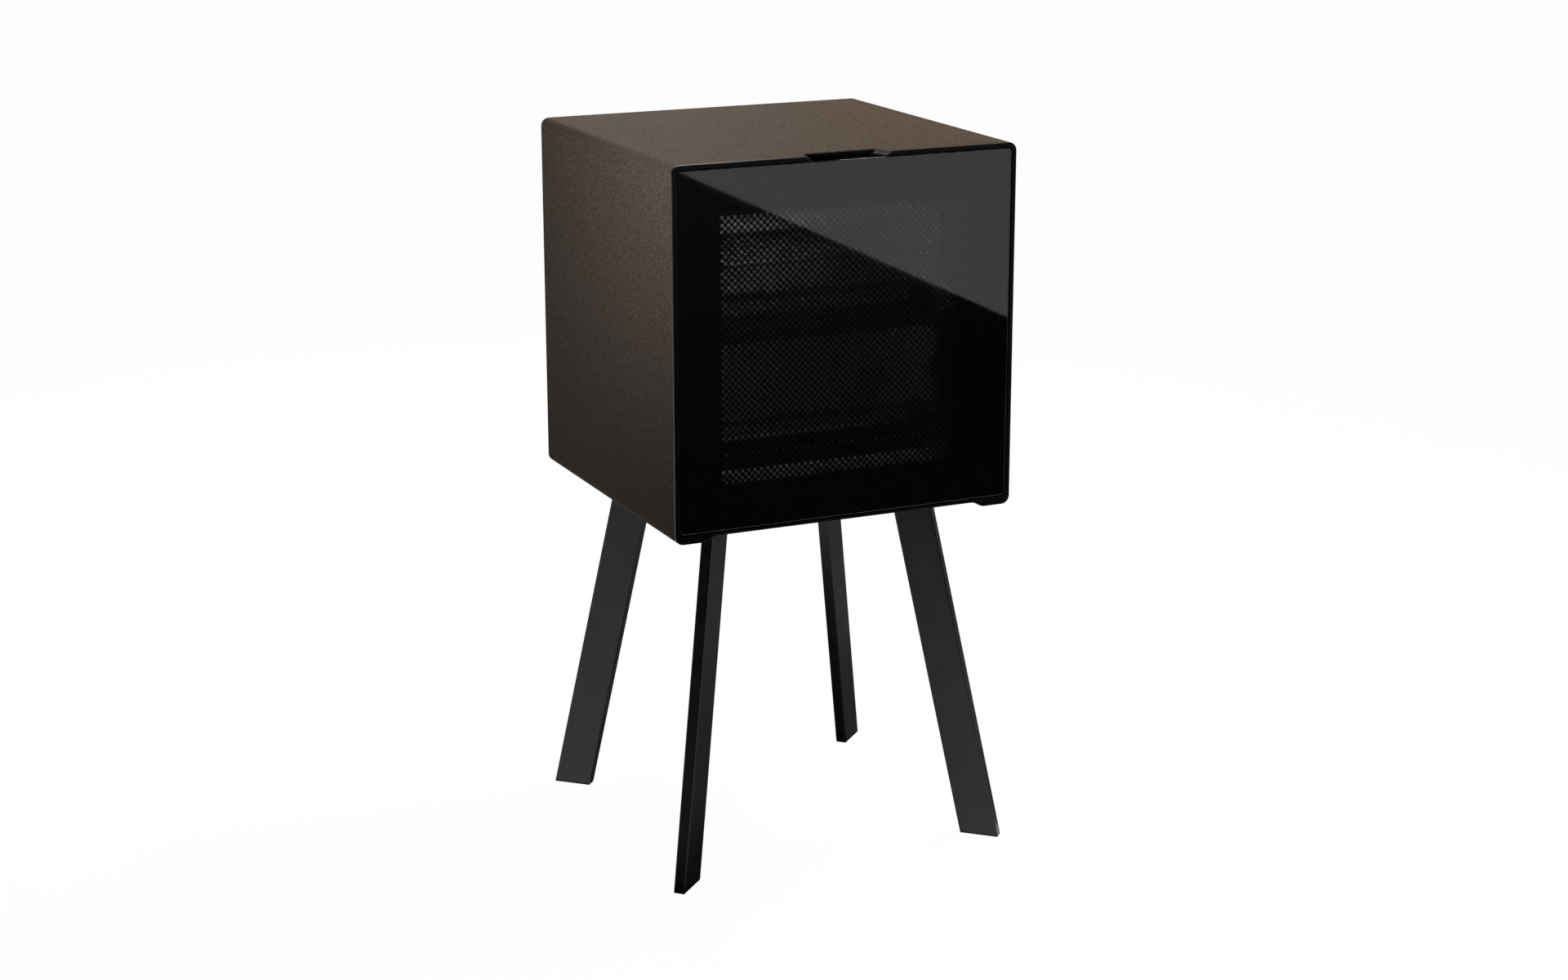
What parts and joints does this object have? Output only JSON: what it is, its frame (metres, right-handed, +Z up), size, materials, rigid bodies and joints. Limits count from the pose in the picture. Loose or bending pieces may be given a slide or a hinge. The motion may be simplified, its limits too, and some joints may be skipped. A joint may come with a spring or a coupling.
{
  "type": "glass door minibar fridge",
  "caption": "Cube-shaped minibar fridge with a brown sheet shell, an inset dark glass door hinged on the right, wire shelves, door racks and four splayed flat legs.",
  "frame": {"origin": "on the floor, below the middle of the case", "axes": "+Z up, the door faces -Y, the hinge is on the +X side"},
  "size_m": [0.4644, 0.4435, 0.914],
  "materials": {
    "bronze_shell": "fine grained bronze brown powder coat, satin",
    "black_frame": "satin black moulded plastic",
    "smoked_glass": "tinted tempered glass with a black printed border and a printed chequer of clear squares",
    "clear_glass": "clear float glass",
    "spacer_metal": "black anodised aluminium bar",
    "grey_liner": "dark grey satin moulded plastic",
    "foam": "rigid insulation foam",
    "zinc_sheet": "zinc coated sheet",
    "black_sheet": "matte black painted sheet",
    "rubber_seal": "matte black soft rubber",
    "rack_plastic": "smoked dark plastic",
    "shelf_wire": "black coated steel wire",
    "cast_aluminium": "cast aluminium",
    "unit_steel": "black painted steel pipe",
    "white_lamp": "white diffusing plastic",
    "board_green": "green circuit board",
    "hinge_steel": "zinc plated steel",
    "bearing_nylon": "natural nylon",
    "leg_paint": "satin black brown powder coat",
    "glide_plastic": "matte black plastic"
  },
  "bodies": {
    "cabinet": {"outer_shell": "bronze_shell", "front_frame": "black_frame", "cabinet_liner": "grey_liner", "control_housing": "grey_liner", "drip_tray": "grey_liner", "insulation_foam": "foam", "rear_panel": "zinc_sheet", "boiler_jacket": "zinc_sheet", "tank_bracket": "zinc_sheet", "boiler_bracket": "zinc_sheet", "base_plate": "black_sheet", "rear_cover": "black_sheet", "drain_tube": "rubber_seal", "cold_plate": "cast_aluminium", "absorber_tank": "unit_steel", "absorber_coil": "unit_steel", "condenser": "unit_steel", "boiler_feed_pipe": "unit_steel", "lamp_cover": "white_lamp", "lamp_board": "board_green", "top_hinge_plate": "hinge_steel", "bottom_hinge_plate": "hinge_steel", "top_hinge_pin": "hinge_steel", "bottom_hinge_pin": "hinge_steel", "heater_cartridge": "hinge_steel", "cover_screw_1": "hinge_steel", "cover_screw_2": "hinge_steel", "cover_screw_3": "hinge_steel", "cover_screw_4": "hinge_steel", "front_left_leg": "leg_paint", "front_left_glide": "glide_plastic", "front_left_leg_bolt_1": "hinge_steel", "front_left_leg_bolt_2": "hinge_steel", "front_right_leg": "leg_paint", "front_right_glide": "glide_plastic", "front_right_leg_bolt_1": "hinge_steel", "front_right_leg_bolt_2": "hinge_steel", "back_left_leg": "leg_paint", "back_left_glide": "glide_plastic", "back_left_leg_bolt_1": "hinge_steel", "back_left_leg_bolt_2": "hinge_steel", "back_right_leg": "leg_paint", "back_right_glide": "glide_plastic", "back_right_leg_bolt_1": "hinge_steel", "back_right_leg_bolt_2": "hinge_steel", "control_box": "glide_plastic", "power_inlet": "glide_plastic"},
    "door": {"door_glass": "smoked_glass", "door_frame": "black_frame", "glazing_spacer": "spacer_metal", "inner_glass": "clear_glass", "door_inner_trim": "black_frame", "door_gasket": "rubber_seal", "top_hinge_bush": "bearing_nylon", "bottom_hinge_bush": "bearing_nylon"},
    "upper_rack": {"upper_rack": "rack_plastic"},
    "lower_rack": {"lower_rack": "rack_plastic"},
    "upper_shelf": {"upper_shelf": "shelf_wire"},
    "lower_shelf": {"lower_shelf": "shelf_wire"},
    "thermostat_knob": {"thermostat_knob": "rack_plastic"}
  },
  "joints": [
    {"name": "door_hinge", "type": "hinge", "parent": "cabinet", "child": "door", "pos_m": [0.2024, -0.2136, 0.684], "axis": [0, 0, 1], "range_deg": [0, 120]},
    {"name": "upper_rack_lift", "type": "slide", "parent": "door", "child": "upper_rack", "axis": [0, 0, 1], "range_m": [0, 0.022]},
    {"name": "lower_rack_lift", "type": "slide", "parent": "door", "child": "lower_rack", "axis": [0, 0, 1], "range_m": [0, 0.022]},
    {"name": "upper_shelf_slide", "type": "slide", "parent": "cabinet", "child": "upper_shelf", "axis": [0, -1, 0], "range_m": [0, 0.024]},
    {"name": "lower_shelf_slide", "type": "slide", "parent": "cabinet", "child": "lower_shelf", "axis": [0, -1, 0], "range_m": [0, 0.024]},
    {"name": "thermostat_turn", "type": "hinge", "parent": "cabinet", "child": "thermostat_knob", "pos_m": [0.052, -0.0707, 0.8577], "axis": [0, 0, -1], "range_deg": [0, 270]}
  ]
}
